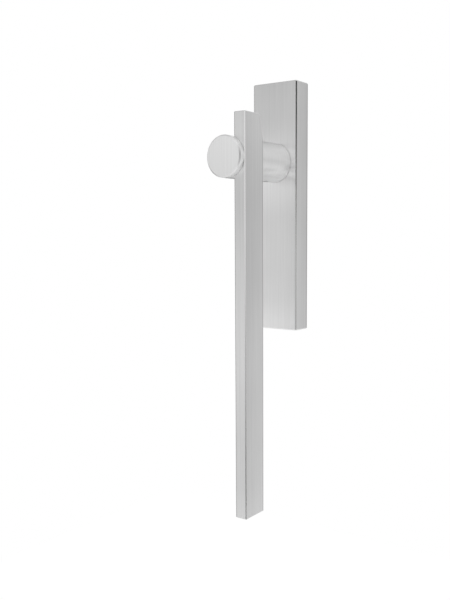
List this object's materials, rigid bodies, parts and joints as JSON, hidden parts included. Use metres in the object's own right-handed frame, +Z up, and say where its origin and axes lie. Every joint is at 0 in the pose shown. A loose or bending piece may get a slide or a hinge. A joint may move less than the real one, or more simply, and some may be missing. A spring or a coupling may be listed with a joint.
{
  "type": "sliding patio door handle",
  "caption": "Lift-and-slide patio door handle: a long flat lever bar let into a round turned hub that swings on a tall plain box backplate, in satin stainless steel.",
  "frame": {"origin": "the hub axis where it meets the door's face, midway between the fixing holes", "axes": "+X to the right of a person facing the door, +Y into the door, +Z up along the lever"},
  "size_m": [0.04, 0.08, 0.323],
  "materials": {
    "satin_steel": "fine satin brushed",
    "cast_base": "as cast, blasted",
    "pale_bush": "moulded",
    "hardware_steel": "plain turned steel"
  },
  "bodies": {
    "plate": {"cover_plate": "satin_steel", "base_plate": "cast_base", "bearing_bush": "pale_bush", "cover_set_screws": "hardware_steel"},
    "lever": {"hub": "satin_steel", "lever_bar": "satin_steel", "bar_screws": "hardware_steel", "spindle_set_screw": "hardware_steel", "thrust_washer": "hardware_steel", "retaining_ring": "hardware_steel"}
  },
  "joints": [
    {"name": "lever_turn", "type": "hinge", "parent": "plate", "child": "lever", "pos_m": [0, 0, 0], "axis": [0, -1, 0], "range_deg": [0, 180]}
  ]
}
